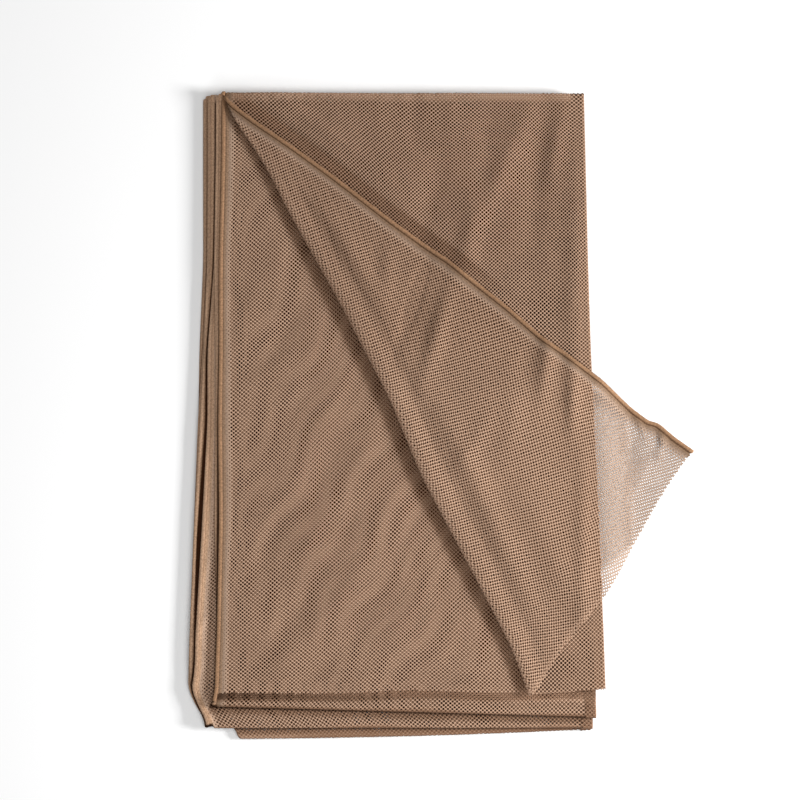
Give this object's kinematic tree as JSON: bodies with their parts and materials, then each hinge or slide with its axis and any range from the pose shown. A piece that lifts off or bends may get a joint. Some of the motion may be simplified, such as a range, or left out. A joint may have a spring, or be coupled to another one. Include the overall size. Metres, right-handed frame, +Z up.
{
  "type": "camouflage netting",
  "caption": "Folded length of fine one-colour camouflage netting with a rolled hem, its near corner turned back over the stack.",
  "frame": {"origin": "on the surface that the stack lies on, under the middle of the whole outline", "axes": "+Z up from the surface, +Y along the layers towards the side where the top layer turns under, +X across from the hemmed side to the side over which the corner hangs"},
  "size_m": [0.4953, 0.6302, 0.0242],
  "materials": {
    "netting": "matt warp-knitted mesh with small even holes, solid band and rolled hem at one side"
  },
  "bodies": {
    "root": {"netting": "netting"}
  },
  "joints": []
}
